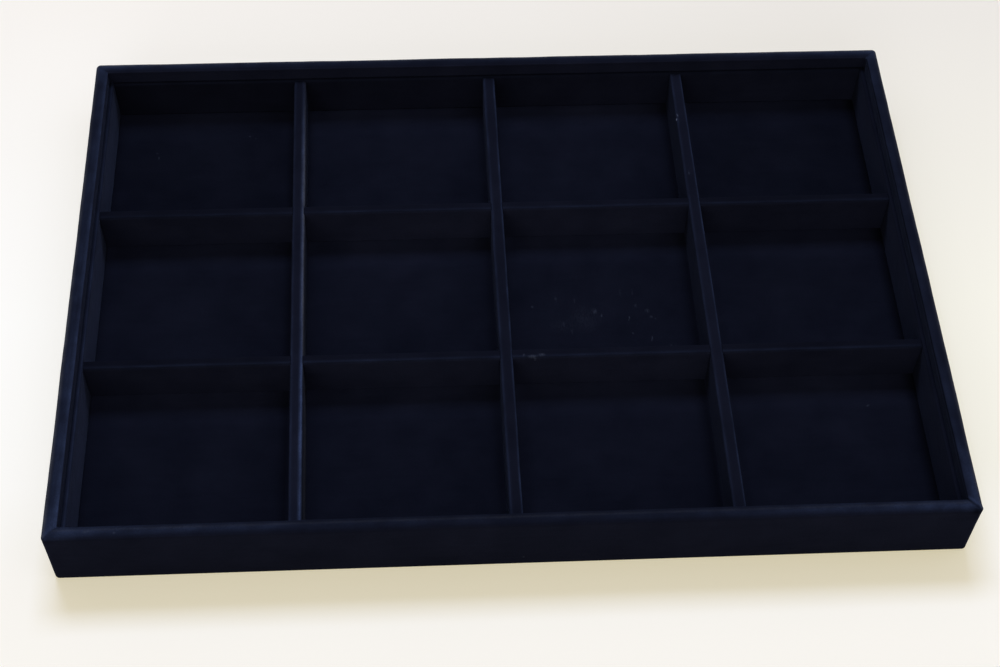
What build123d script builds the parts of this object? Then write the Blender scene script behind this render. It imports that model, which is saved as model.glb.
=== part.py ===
from build123d import *
import os

# A shallow display tray: a covered frame, a lining on each wall, a padded floor and lapped dividers.
# Millimetres. X runs across the columns, Y from front to back, Z up from what the tray stands on.

# Outside of the covered tray
TRAY_WIDTH = 350.0
TRAY_DEPTH = 240.0
TRAY_HEIGHT = 30.0
RIM_STEP = 6.0  # how far the lining and the dividers stop below the rim

# Sheet materials
VELVET = 0.5  # backing and pile together
COVER_SHEET = 0.5
BASE_BOARD = 3.0
FLOOR_CARD = 1.0
LINING_CARD = 1.0

# Frame
RAIL_THICKNESS = 4.2
RAIL_CORNER_RADIUS = 1.5
RAIL_EDGE_RADIUS = 0.8
RAIL_REBATE = 2.0  # how far the side rails and the base board reach into the rails
TURN_IN = 14.0  # how far the outer velvet reaches down the inside from the rim
COVER_INSET = 3.0
COVER_CORNER_RADIUS = 3.0

# Dividers and lining
LONG_CORE = 4.2
CROSS_CORE = 3.4
CORE_EDGE_RADIUS = 0.7
CARD_EDGE_RADIUS = 0.3
LINING_TURN_BACK = 10.0  # how far the lining velvet reaches down behind its card
PAD_EDGE_RADIUS = 0.4

# Clearances
BOARD_CLEARANCE = 0.1  # base board to the sides of its rebate
LINING_CLEARANCE = 0.1  # each end of a lining strip
PAD_CLEARANCE = 0.2  # floor pad to the lining
END_CLEARANCE = 0.15  # each end of a divider to the lining
LAP_CLEARANCE = 0.1  # each side of a half-lap slot

# Brads
BRAD_DIAMETER = 1.0
BRAD_HEAD_DIAMETER = 1.6
BRAD_HEAD_THICKNESS = 0.4
BRAD_TIP = 1.2
BRAD_SINK = 0.3  # how far a head is set below the surface
CORNER_BRAD_LENGTH = 16.0
BASE_BRAD_LENGTH = 10.0
CORNER_BRAD_FROM_EDGE = 8.0  # up from the rail's lower edge, and down from its upper edge
BASE_BRAD_SPACING = 80.0

# Names of the dividers, left to right and rear to front
LONG_DIVIDERS = ["left_divider", "centre_divider", "right_divider"]
CROSS_DIVIDERS = ["rear_cross_divider", "front_cross_divider"]

# How the hand-set long dividers stand off even spacing, in the same order
LONG_SHIFTS = [1.2, -0.3, -1.1]  # to the right, at the middle of their length
LONG_TURNS = [0.6, 0.25, 0.3]  # degrees, anticlockwise from above

# Half sizes of the frame, from the outside inwards
rail_out_x = TRAY_WIDTH / 2 - VELVET
rail_out_y = TRAY_DEPTH / 2 - VELVET
rail_in_x = rail_out_x - RAIL_THICKNESS
rail_in_y = rail_out_y - RAIL_THICKNESS
turned_in_x = rail_in_x - VELVET
turned_in_y = rail_in_y - VELVET
lining_thickness = LINING_CARD + 2 * VELVET
inside_x = turned_in_x - lining_thickness
inside_y = turned_in_y - lining_thickness

# Levels, from the bottom up
board_bottom = COVER_SHEET
rail_bottom = COVER_SHEET + VELVET
board_top = board_bottom + BASE_BOARD
floor_top = board_top + FLOOR_CARD + VELVET
lining_top = TRAY_HEIGHT - RIM_STEP
rail_top = TRAY_HEIGHT - VELVET
lap_level = (floor_top + lining_top) / 2

# Dividers
long_thickness = LONG_CORE + 2 * VELVET
cross_thickness = CROSS_CORE + 2 * VELVET
column_width = (2 * inside_x - len(LONG_DIVIDERS) * long_thickness) / (len(LONG_DIVIDERS) + 1)
row_depth = (2 * inside_y - len(CROSS_DIVIDERS) * cross_thickness) / (len(CROSS_DIVIDERS) + 1)


def long_divider_x(index):
    """X of the middle of a long divider, counted from the left."""
    even = -inside_x + (index + 1) * column_width + (index + 0.5) * long_thickness
    return even + LONG_SHIFTS[index]


def long_divider_place(index):
    """Where a long divider stands, its length along Y."""
    return Pos(long_divider_x(index), 0, 0) * Rot(0, 0, LONG_TURNS[index])


def cross_divider_y(index):
    """Y of the middle of a cross divider, counted from the rear."""
    return inside_y - (index + 1) * row_depth - (index + 0.5) * cross_thickness


def block(low, high):
    """A box between two opposite corners."""
    size = [b - a for a, b in zip(low, high)]
    middle = [(a + b) / 2 for a, b in zip(low, high)]
    return Pos(*middle) * Box(*size)


def centred_block(half_x, half_y, bottom, top):
    """A box about the Z axis between two levels."""
    return block((-half_x, -half_y, bottom), (half_x, half_y, top))


def save(shape, node):
    """Write one node."""
    export_step(shape, f"parts/{node}.step")


def wall_ring(out_x, out_y, wall, bottom, top, corner_radius, edge_radius):
    """The four walls in one piece, rounded at the corners and along both upper edges."""
    outside = centred_block(out_x, out_y, bottom, top)
    outside = fillet(outside.edges().filter_by(Axis.Z), corner_radius)
    ring = outside - centred_block(out_x - wall, out_y - wall, bottom, top)
    return fillet(ring.faces().sort_by(Axis.Z)[-1].edges(), edge_radius)


def brad(length):
    """A brad driven along +Z from the surface at the origin, its head set a little below it."""
    shank = BRAD_DIAMETER / 2
    head = BRAD_HEAD_DIAMETER / 2
    outline = Polyline(
        (0, BRAD_SINK),
        (head, BRAD_SINK),
        (head, BRAD_SINK + BRAD_HEAD_THICKNESS),
        (shank, BRAD_SINK + BRAD_HEAD_THICKNESS),
        (shank, length - BRAD_TIP),
        (0, length),
        close=True,
    )
    half_section = Plane.XZ * make_face(outline)
    return revolve(half_section, Axis.Z)


def brad_hole(length):
    """The hole that a driven brad leaves, open at the surface."""
    pocket = extrude(Circle(BRAD_HEAD_DIAMETER / 2), BRAD_SINK)
    return brad(length) + pocket


def corner_brad_places():
    """Two at each corner, through the front or rear rail into the end of a side rail."""
    places = []
    rail_middle = rail_in_x + RAIL_THICKNESS / 2
    for x in (-rail_middle, rail_middle):
        for z in (rail_bottom + CORNER_BRAD_FROM_EDGE, rail_top - CORNER_BRAD_FROM_EDGE):
            for y, turn in ((-rail_out_y, -90), (rail_out_y, 90)):
                places.append(Pos(x, y, z) * Rot(turn, 0, 0))
    return places


def spread(half_length, spacing):
    """Evenly spaced places along a rail, about its middle."""
    count = int(2 * half_length // spacing)
    return [(i - (count - 1) / 2) * spacing for i in range(count)]


def base_brad_places():
    """Through the edge of the base board, up into the rails."""
    places = []
    rebate_middle_x = rail_in_x + RAIL_REBATE / 2
    rebate_middle_y = rail_in_y + RAIL_REBATE / 2
    for x in (-rebate_middle_x, rebate_middle_x):
        for y in spread(rail_in_y, BASE_BRAD_SPACING):
            places.append(Pos(x, y, board_bottom))
    for y in (-rebate_middle_y, rebate_middle_y):
        for x in spread(rail_in_x, BASE_BRAD_SPACING):
            places.append(Pos(x, y, board_bottom))
    return places


def make_frame():
    """The rails, the base board and the brads that hold them."""
    corner_brads = [place * brad(CORNER_BRAD_LENGTH) for place in corner_brad_places()]
    corner_holes = [place * brad_hole(CORNER_BRAD_LENGTH) for place in corner_brad_places()]
    base_brads = [place * brad(BASE_BRAD_LENGTH) for place in base_brad_places()]
    base_holes = [place * brad_hole(BASE_BRAD_LENGTH) for place in base_brad_places()]
    rebate_x = rail_in_x + RAIL_REBATE
    rebate_y = rail_in_y + RAIL_REBATE
    ring = wall_ring(
        rail_out_x, rail_out_y, RAIL_THICKNESS, rail_bottom, rail_top, RAIL_CORNER_RADIUS, RAIL_EDGE_RADIUS
    )
    ring -= centred_block(rebate_x, rebate_y, rail_bottom, board_top)
    for hole in corner_holes + base_holes:
        ring -= hole

    left_zone = block((-rail_out_x, -rebate_y, rail_bottom), (-rail_in_x, rebate_y, rail_top))
    right_zone = block((rail_in_x, -rebate_y, rail_bottom), (rail_out_x, rebate_y, rail_top))
    front_zone = block((-rail_out_x, -rail_out_y, rail_bottom), (rail_out_x, -rail_in_y, rail_top))
    rear_zone = block((-rail_out_x, rail_in_y, rail_bottom), (rail_out_x, rail_out_y, rail_top))
    save(ring & left_zone, "left_rail")
    save(ring & right_zone, "right_rail")
    save((ring & front_zone) - left_zone - right_zone, "front_rail")
    save((ring & rear_zone) - left_zone - right_zone, "rear_rail")

    board = centred_block(rebate_x - BOARD_CLEARANCE, rebate_y - BOARD_CLEARANCE, board_bottom, board_top)
    for hole in base_holes:
        board -= hole
    save(board, "base_board")
    save(Compound(children=corner_brads), "corner_brads")
    save(Compound(children=base_brads), "base_brads")


def make_outer_velvet():
    """One skin round the outside, over the rim, down the inside and under the rails."""
    covered = wall_ring(
        rail_out_x + VELVET,
        rail_out_y + VELVET,
        RAIL_THICKNESS + 2 * VELVET,
        board_bottom,
        TRAY_HEIGHT,
        RAIL_CORNER_RADIUS + VELVET,
        RAIL_EDGE_RADIUS + VELVET,
    )
    bare = wall_ring(
        rail_out_x, rail_out_y, RAIL_THICKNESS, rail_bottom, rail_top, RAIL_CORNER_RADIUS, RAIL_EDGE_RADIUS
    )
    below_turn_in = centred_block(rail_in_x, rail_in_y, board_bottom, TRAY_HEIGHT - TURN_IN)
    board_space = centred_block(rail_in_x + RAIL_REBATE, rail_in_y + RAIL_REBATE, board_bottom, board_top)
    save(covered - bare - below_turn_in - board_space, "outer_velvet")


def make_bottom_cover():
    """The thin sheet under the tray."""
    sheet = centred_block(TRAY_WIDTH / 2 - COVER_INSET, TRAY_DEPTH / 2 - COVER_INSET, 0, COVER_SHEET)
    save(fillet(sheet.edges().filter_by(Axis.Z), COVER_CORNER_RADIUS), "bottom_cover")


def board_along_x(half_length, thickness, bottom, top, edge_radius):
    """An upright board along X with its two long upper edges rounded."""
    board = block((-half_length, -thickness / 2, bottom), (half_length, thickness / 2, top))
    edges = board.faces().sort_by(Axis.Z)[-1].edges().filter_by(Axis.X)
    return fillet(edges, edge_radius)


def wrapped_board(half_length, core_thickness, bottom, top, core_radius, back_edge):
    """A board and its velvet, folded over the top. Behind, at +Y, the velvet ends at back_edge."""
    thickness = core_thickness + 2 * VELVET
    core = board_along_x(half_length, core_thickness, bottom, top - VELVET, core_radius)
    sleeve = board_along_x(half_length, thickness, bottom, top, core_radius + VELVET) - core
    if back_edge > bottom:
        sleeve -= block((-half_length, core_thickness / 2, bottom), (half_length, thickness / 2, back_edge))
    return core, sleeve


def make_lining():
    """A card strip in velvet on each wall. The side strips run the full depth."""
    back_edge = lining_top - LINING_TURN_BACK
    walls = [
        ("front_lining", inside_x, Pos(0, -inside_y - lining_thickness / 2, 0) * Rot(0, 0, 180)),
        ("rear_lining", inside_x, Pos(0, inside_y + lining_thickness / 2, 0)),
        ("left_lining", turned_in_y, Pos(-inside_x - lining_thickness / 2, 0, 0) * Rot(0, 0, 90)),
        ("right_lining", turned_in_y, Pos(inside_x + lining_thickness / 2, 0, 0) * Rot(0, 0, -90)),
    ]
    for name, half_length, place in walls:
        card, velvet = wrapped_board(
            half_length - LINING_CLEARANCE, LINING_CARD, board_top, lining_top, CARD_EDGE_RADIUS, back_edge
        )
        save(place * card, f"{name}_card")
        save(place * velvet, f"{name}_velvet")


def make_floor():
    """The floor pad: a card with velvet over it, turned down at the edges."""
    half_x = inside_x - PAD_CLEARANCE
    half_y = inside_y - PAD_CLEARANCE
    card = centred_block(half_x - VELVET, half_y - VELVET, board_top, board_top + FLOOR_CARD)
    pad = centred_block(half_x, half_y, board_top, floor_top)
    pad = fillet(pad.faces().sort_by(Axis.Z)[-1].edges(), PAD_EDGE_RADIUS)
    save(card, "floor_card")
    save(pad - card, "floor_velvet")


def make_dividers():
    """Wrapped boards, slotted from below along the tray and from above across it."""
    long_half = inside_y - END_CLEARANCE
    cross_half = inside_x - END_CLEARANCE
    long_slot = cross_thickness / 2 + LAP_CLEARANCE
    cross_slot = long_thickness / 2 + LAP_CLEARANCE

    core, sleeve = wrapped_board(long_half, LONG_CORE, floor_top, lining_top, CORE_EDGE_RADIUS, floor_top)
    turned = Rot(0, 0, 90)
    for index, name in enumerate(LONG_DIVIDERS):
        place = long_divider_place(index) * turned
        long_core, long_sleeve = place * core, place * sleeve
        for crossing in range(len(CROSS_DIVIDERS)):
            y = cross_divider_y(crossing)
            slot = block((-TRAY_WIDTH / 2, y - long_slot, floor_top), (TRAY_WIDTH / 2, y + long_slot, lap_level))
            long_core -= slot
            long_sleeve -= slot
        save(long_core, f"{name}_core")
        save(long_sleeve, f"{name}_velvet")

    core, sleeve = wrapped_board(cross_half, CROSS_CORE, floor_top, lining_top, CORE_EDGE_RADIUS, floor_top)
    for index, name in enumerate(CROSS_DIVIDERS):
        place = Pos(0, cross_divider_y(index), 0)
        cross_core, cross_sleeve = place * core, place * sleeve
        for crossing in range(len(LONG_DIVIDERS)):
            slot = centred_block(cross_slot, TRAY_DEPTH / 2, lap_level, lining_top)
            slot = long_divider_place(crossing) * slot
            cross_core -= slot
            cross_sleeve -= slot
        save(cross_core, f"{name}_core")
        save(cross_sleeve, f"{name}_velvet")


os.makedirs("parts", exist_ok=True)
make_frame()
make_outer_velvet()
make_bottom_cover()
make_lining()
make_floor()
make_dividers()
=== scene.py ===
"""A shallow display tray covered in near-black velvet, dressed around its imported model.

Sizes are in metres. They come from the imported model's boxes, or are named values below.
X runs across the columns, Y from front to back, Z up from what the tray stands on.
"""

from contextlib import contextmanager
from math import acos, ceil, cos, degrees, hypot, pi, radians, sin, sqrt, tan

import bmesh
import bpy
import numpy as np
from mathutils import Matrix, Vector, noise


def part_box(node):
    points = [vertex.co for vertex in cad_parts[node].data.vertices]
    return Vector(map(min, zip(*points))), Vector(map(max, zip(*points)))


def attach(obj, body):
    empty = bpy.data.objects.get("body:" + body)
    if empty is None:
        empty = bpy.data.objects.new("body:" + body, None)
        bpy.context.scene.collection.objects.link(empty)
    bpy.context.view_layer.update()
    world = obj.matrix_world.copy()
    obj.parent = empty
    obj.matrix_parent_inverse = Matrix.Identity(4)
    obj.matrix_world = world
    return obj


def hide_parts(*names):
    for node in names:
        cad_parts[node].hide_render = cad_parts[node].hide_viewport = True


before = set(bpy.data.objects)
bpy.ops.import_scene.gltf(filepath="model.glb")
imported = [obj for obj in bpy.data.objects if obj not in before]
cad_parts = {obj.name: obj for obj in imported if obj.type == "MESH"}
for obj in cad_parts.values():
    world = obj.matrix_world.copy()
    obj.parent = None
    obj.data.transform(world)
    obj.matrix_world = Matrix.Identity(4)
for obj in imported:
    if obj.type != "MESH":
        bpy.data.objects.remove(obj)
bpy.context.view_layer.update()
MM = 0.001

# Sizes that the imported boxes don't give
TURN_IN = 14 * MM  # how far the outer velvet reaches down the inside from the rim
UNDER_RAIL = 2.7 * MM  # how far it reaches in under the rails
LINING_TURN_BACK = 10 * MM
CORNER_RADIUS = 2.0 * MM
RIM_EDGE_RADIUS = 1.3 * MM
RIM_INNER_RADIUS = 0.75 * MM
INSIDE_CORNER_RADIUS = 0.5 * MM
LONG_EDGE_RADIUS = 1.2 * MM
CROSS_EDGE_RADIUS = 1.1 * MM
LINING_EDGE_RADIUS = 0.8 * MM
CUT_EDGE_RADIUS = 0.12 * MM
FLOOR_EDGE_RADIUS = 0.5 * MM
FELT_CORNER_RADIUS = 3 * MM
FELT_INSET = 2 * MM  # less than the corner radius, or the flat faces fold over themselves
LAP_CLEARANCE = 0.04 * MM
SLEEVE_OVERLAP = 0.2 * MM  # how far the cross sleeves reach into the long ones' cloth

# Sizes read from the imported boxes
outer_lo, outer_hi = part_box("outer_velvet")
rail_lo, rail_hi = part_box("front_rail")
lining_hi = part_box("left_lining_velvet")[1]
floor_lo, floor_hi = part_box("floor_velvet")
HALF_X, HALF_Y, TOP = outer_hi.x, outer_hi.y, outer_hi.z
BOTTOM = outer_lo.z
VELVET = rail_lo.y - outer_lo.y
WALL = rail_hi.y - rail_lo.y + 2 * VELVET
FLOOR_TOP = floor_hi.z
LINING_TOP = lining_hi.z
LONG_DIVIDERS = ("left_divider", "centre_divider", "right_divider")
CROSS_DIVIDERS = ("rear_cross_divider", "front_cross_divider")
LONG_TURNS = tuple(radians(a) for a in (0.6, 0.25, 0.3))  # anticlockwise from above


def middle_and_thickness(node, axis):
    """Where the middle of an upright board is along one axis, and how thick it is."""
    lo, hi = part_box(node)
    return (lo[axis] + hi[axis]) / 2, hi[axis] - lo[axis]


def unturned_size(node, turn):
    """How thick and how long a board is that stands askew in its box."""
    lo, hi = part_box(node)
    wide, long = hi.x - lo.x, hi.y - lo.y
    c, s = cos(turn), sin(turn)
    return (wide * c - long * s) / cos(2 * turn), (long * c - wide * s) / cos(2 * turn)


LONG_THICKNESS, LONG_LENGTH = unturned_size("centre_divider_velvet", LONG_TURNS[1])
LONG_MIDDLES = [middle_and_thickness(f"{n}_velvet", 0)[0] for n in LONG_DIVIDERS]
CROSS_PLACES = [middle_and_thickness(f"{n}_velvet", 1) for n in CROSS_DIVIDERS]
LAP_LEVEL = (FLOOR_TOP + LINING_TOP) / 2


# Lines and grids

def rounded_line(corners, radii, step, arc_steps=7):
    """A line through corners, each rounded by its radius, with points at most a step apart."""
    corners = [np.array(c, float) for c in corners]
    points = [corners[0]]
    for before, corner, after, radius in zip(corners, corners[1:], corners[2:], radii):
        a = (before - corner) / np.linalg.norm(before - corner)
        b = (after - corner) / np.linalg.norm(after - corner)
        half_turn = acos(float(np.clip(a @ b, -1, 1))) / 2
        reach = radius / tan(half_turn)
        centre = corner + (a + b) / np.linalg.norm(a + b) * radius / sin(half_turn)
        start, end = corner + a * reach - centre, corner + b * reach - centre
        sweep = pi - 2 * half_turn
        for k in range(arc_steps + 1):
            t = k / arc_steps
            arm = start * sin((1 - t) * sweep) + end * sin(t * sweep)
            points.append(centre + arm / sin(sweep) if sweep > 1e-6 else corner)
    points.append(corners[-1])
    fine = [points[0]]
    for p in points[1:]:
        count = max(1, ceil(np.linalg.norm(p - fine[-1]) / step - 1e-9))
        fine += [fine[-1] + (p - fine[-1]) * k / count for k in range(1, count + 1)]
    return np.array(fine)


STEP_GROWTH = 1.15


def graded(length, fine, coarse, zone):
    """Places from 0 to length, a fine step apart near both ends and a coarse one between."""
    half, steps = [0.0], fine
    while half[-1] + steps < length / 2:
        half.append(half[-1] + steps)
        if half[-1] > zone:
            steps = min(coarse, steps * STEP_GROWTH)
    return np.array(half + [length - p for p in reversed(half)])


def add_object(name, data):
    made = bpy.data.objects.new(name, data)
    bpy.context.scene.collection.objects.link(made)
    return made


def new_piece(name, vertices, faces):
    """A smooth mesh object in the scene."""
    mesh = bpy.data.meshes.new(name)
    mesh.from_pydata([tuple(v) for v in vertices], [], [tuple(f) for f in faces])
    mesh.validate()
    mesh.polygons.foreach_set("use_smooth", [True] * len(mesh.polygons))
    mesh.update()
    return add_object(name, mesh)


@contextmanager
def opened(piece):
    """The piece's mesh, open for bmesh inside the with block and written back after it."""
    made = bmesh.new()
    made.from_mesh(piece.data)
    yield made
    made.to_mesh(piece.data)
    made.free()
    piece.data.update()


def apply_modifier(piece, kind, **settings):
    """Works one modifier into the piece's mesh."""
    modifier = piece.modifiers.new(kind, kind)
    for key, value in settings.items():
        setattr(modifier, key, value)
    with bpy.context.temp_override(object=piece, active_object=piece):
        bpy.ops.object.modifier_apply(modifier=modifier.name)


def grid_faces(columns, rows, ring):
    """Quads between columns of rows. Rows close on themselves; columns too if ring is set."""
    faces = []
    for i in range(columns if ring else columns - 1):
        for j in range(rows):
            a, b = i * rows + j, i * rows + (j + 1) % rows
            c, d = ((i + 1) % columns) * rows + (j + 1) % rows, ((i + 1) % columns) * rows + j
            faces.append((a, d, c, b))
    return faces


def points_of(piece):
    """The piece's points and normals as arrays."""
    mesh = piece.data
    co = np.empty(len(mesh.vertices) * 3)
    mesh.vertices.foreach_get("co", co)
    normals = np.array([n.vector for n in mesh.vertex_normals])
    return co.reshape(-1, 3), normals.reshape(-1, 3)


def set_points(piece, co):
    piece.data.vertices.foreach_set("co", np.asarray(co, np.float32).ravel())
    piece.data.update()


def set_value(piece, name, values):
    """A number on each point, or one for all of them, for the material to read."""
    attribute = piece.data.attributes.get(name) or piece.data.attributes.new(name, "FLOAT", "POINT")
    attribute.data.foreach_set("value", np.full(len(piece.data.vertices), values, np.float32))


def read_value(piece, name):
    """The numbers that set_value put on each point."""
    values = np.empty(len(piece.data.vertices), np.float32)
    piece.data.attributes[name].data.foreach_get("value", values)
    return values


SEED_SHIFT = (17.3, -9.1, 5.7)  # how far each seed moves the noise, so that no two are alike


def bumps(co, size, octaves, seed):
    """Smooth noise from about -1 to 1 at each point, with features of that size."""
    shift = Vector([seed * s for s in SEED_SHIFT])
    scale = 1 / size
    return np.array([noise.fractal(Vector(p) * scale + shift, 1.0, 2.0, octaves) for p in co])


def uneven(co, look, octaves=2, seed=0):
    """Noise at each point. look is how strong it is and how large its features are."""
    strength, size = look
    return strength * bumps(co, size, octaves, seed)


def smooth_step(value, low, high):
    t = np.clip((value - low) / (high - low), 0, 1)
    return t * t * (3 - 2 * t)


def hill(value, centre, width):
    return np.exp(-(((value - centre) / width) ** 2))


# The outer velvet

SIDE_STEP = 1.5 * MM
FINE_STEP = 0.4 * MM
CORNER_ZONE = 8 * MM
HIDDEN_STEP = 6 * MM
VISIBLE_STEP = 0.75 * MM
ARC_DEGREES = 9
CORNERS = ((1, 1), (-1, 1), (-1, -1), (1, -1))  # anticlockwise from the rear right


def ring_columns(half_x, half_y, radius):
    """Columns round a rectangle: ("arc", corner, angle) and ("side", corner, share along)."""
    columns = []
    for k in range(4):
        for angle in range(0, 91, ARC_DEGREES):
            columns.append(("arc", k, radians(90 * k + angle)))
        length = 2 * (half_x if k % 2 == 0 else half_y) - 2 * radius
        for s in graded(length, FINE_STEP, SIDE_STEP, CORNER_ZONE)[1:-1]:
            columns.append(("side", k, s / length))
    return columns


def ring_point(column, inset, half_x, half_y, radius, least_radius):
    """Where a column is at an inset from the outside, seen from above."""
    kind, k, value = column
    inner = max(radius - inset, least_radius)

    def centre(corner):
        sx, sy = CORNERS[corner % 4]
        return np.array([sx * (half_x - inset - inner), sy * (half_y - inset - inner)])

    def at(corner, angle):
        return centre(corner) + inner * np.array([cos(angle), sin(angle)])

    if kind == "arc":
        return at(k, value)
    turned = radians(90 * (k + 1))
    return at(k, turned) * (1 - value) + at(k + 1, turned) * value


def outer_section():
    """The velvet's section as (inset, level): its face first, then its back."""
    turn = TOP - TURN_IN
    cut, t = CUT_EDGE_RADIUS, VELVET
    face = rounded_line(
        [(UNDER_RAIL, BOTTOM), (0, BOTTOM), (0, TOP), (WALL, TOP), (WALL, turn), (WALL - t, turn)],
        [2.5 * cut, RIM_EDGE_RADIUS, RIM_INNER_RADIUS, cut],
        VISIBLE_STEP,
    )
    back = rounded_line(
        [(WALL - t, turn), (WALL - t, TOP - t), (t, TOP - t), (t, BOTTOM + t), (UNDER_RAIL, BOTTOM + t)],
        [RIM_INNER_RADIUS - t, RIM_EDGE_RADIUS - t, cut],
        HIDDEN_STEP,
    )
    return np.concatenate([face, back[1:]]), len(face)


def corner_coordinates(co, corner):
    """Distance out along a rim corner's diagonal from its inner corner, and off it towards the side rail."""
    sx, sy = CORNERS[corner]
    x = (co[:, 0] * sx - (HALF_X - WALL)) / sqrt(2)
    y = (co[:, 1] * sy - (HALF_Y - WALL)) / sqrt(2)
    return x + y, x - y


# How much of a fold shows at each rim corner, in the order of CORNERS
FOLD_DEPTH = (0.12, 0.12, 0.25, 0.85)
FOLD_START = (-1.5 * MM, 0.5 * MM)  # along the corner's diagonal
FOLD_GROOVE = 0.14 * MM
FOLD_HALF_WIDTH = 0.5 * MM
FOLD_RIDGE = 0.2 * MM
RIDGE_BAND = (1.0 * MM, 0.75 * MM)  # how far off the diagonal, and over what width
# How strong the painted highlight on each fold's ridge is
RIDGE_HIGHLIGHT = 1.1
FLAP_LIFT = 0.18 * MM
FLAP_LENGTH = 6 * MM
TUCK_DEPTH = 0.25 * MM
TUCK_SIZE = 1.9 * MM
TUCK_OUT = 5.6 * MM
TUCK_OFF = -1.9 * MM
TUCK_NARROWING = 0.7
CREASE_SHADES = (0.75, 0.55)  # how much painted shade darkens the pile in the tuck and in the groove
CREASE_DARKENING = 0.7
LONG_WAVE = (0.13 * MM, 34 * MM)  # how high and how long
SMALL_WAVE = (0.05 * MM, 7 * MM)
RIM_DOME = 0.10 * MM
RIM_MOTTLE = (0.5, 6 * MM)
HIGHLIGHT_MOTTLE = (0.6, 6 * MM)
INNER_BULGE = 0.3 * MM  # the cloth stands off the rim's inner edge
DEEPEST = 0.36 * MM  # how far in the cloth may go before the rail would show through it

# A painted sheen highlight along each rail: how strong, how far in it is strongest, over what width,
# and the share of it at the middle of the rail's length
RIM_HIGHLIGHTS = {
    "front": (0.95, 3.2 * MM, 2.0 * MM, 0.22),
    "rear": (0.76, 1.6 * MM, 1.9 * MM, 0.30),
    "left": (0.62, 3.2 * MM, 2.3 * MM, 0.80),
    "right": (0.41, 4.6 * MM, 3.5 * MM, 0.64),
}
# A paler painted highlight line along each rail: how pale, how far in, over what width, and its middle share
RIM_HIGHLIGHT_LINES = {
    "front": (0.14, 3.9 * MM, 0.45 * MM, 0.85),
    "rear": (1.3, 0.55 * MM, 0.8 * MM, 0.62),
    "left": (0.52, 0.6 * MM, 0.65 * MM, 1.25),
    "right": (0.50, 0.55 * MM, 0.65 * MM, 0.85),
}
# A painted highlight line along the left rail's inner edge: how strong, how far in, over what width
LEFT_INNER_LINE = (0.5, 4.75 * MM, 0.55 * MM)
LEFT_SLOPE = 0.36  # how much stronger the left rail's painted highlights are at the front than in the middle
# A painted highlight at each outer corner of the rim
CORNER_HIGHLIGHT = 0.7
CORNER_HIGHLIGHT_BAND = (1.8 * MM, 2.2 * MM)  # how far in, and over what width
CORNER_HIGHLIGHT_SIZE = 7 * MM
END_HIGHLIGHT_ZONE = (82 * MM, 102 * MM)  # along the right rail, where the painted highlight on its front end starts
END_HIGHLIGHT = 0.55
END_HIGHLIGHT_BAND = (1.6 * MM, 2.2 * MM)
# Painted light: how much lighter the outer front face is, and how much lighter or darker each rail's inner
# face is
FRONT_FACE_PAINTED_LIGHT = 1.38
INNER_FACE_PAINTED_LIGHT = {"rear": 2.05, "left": 1.9, "right": 0.2}
INNER_REACH = 6 * MM  # just past the rim's width


def rim_looks(co, inset):
    """How strong the painted sheen highlight and the paler painted highlight lines are at each point of the
    rim's top.
    """
    x, y = co[:, 0] / HALF_X, co[:, 1] / HALF_Y
    on_side = HALF_X - np.abs(co[:, 0]) < HALF_Y - np.abs(co[:, 1])
    rails = {
        "front": (~on_side & (y < 0), x),
        "rear": (~on_side & (y >= 0), x),
        "left": (on_side & (x < 0), y),
        "right": (on_side & (x >= 0), y),
    }
    rim_highlight, pale = np.zeros(len(co)), np.zeros(len(co))
    for rail, (here, along) in rails.items():
        for looks, into in ((RIM_HIGHLIGHTS, rim_highlight), (RIM_HIGHLIGHT_LINES, pale)):
            level, centre, width, middle_share = looks[rail]
            share = middle_share + (1 - middle_share) * along ** 2
            into += here * level * share * hill(inset, centre, width)
    on_left = rails["left"][0]
    level, centre, width = LEFT_INNER_LINE
    rim_highlight += on_left * level * hill(inset, centre, width)
    rim_highlight *= 1 - LEFT_SLOPE * y * on_left
    pale *= 1 - LEFT_SLOPE * y * on_left
    # A painted highlight on the right rail's front end
    end_highlight = smooth_step(-co[:, 1], *END_HIGHLIGHT_ZONE) * rails["right"][0]
    rim_highlight += END_HIGHLIGHT * end_highlight * hill(inset, *END_HIGHLIGHT_BAND)
    # Painted highlights at the rim's outer corners
    for sx, sy in CORNERS:
        away = np.hypot(co[:, 0] - sx * HALF_X, co[:, 1] - sy * HALF_Y)
        rim_highlight += CORNER_HIGHLIGHT * hill(away, 0, CORNER_HIGHLIGHT_SIZE) * hill(inset, *CORNER_HIGHLIGHT_BAND)
    return rim_highlight, pale


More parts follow.
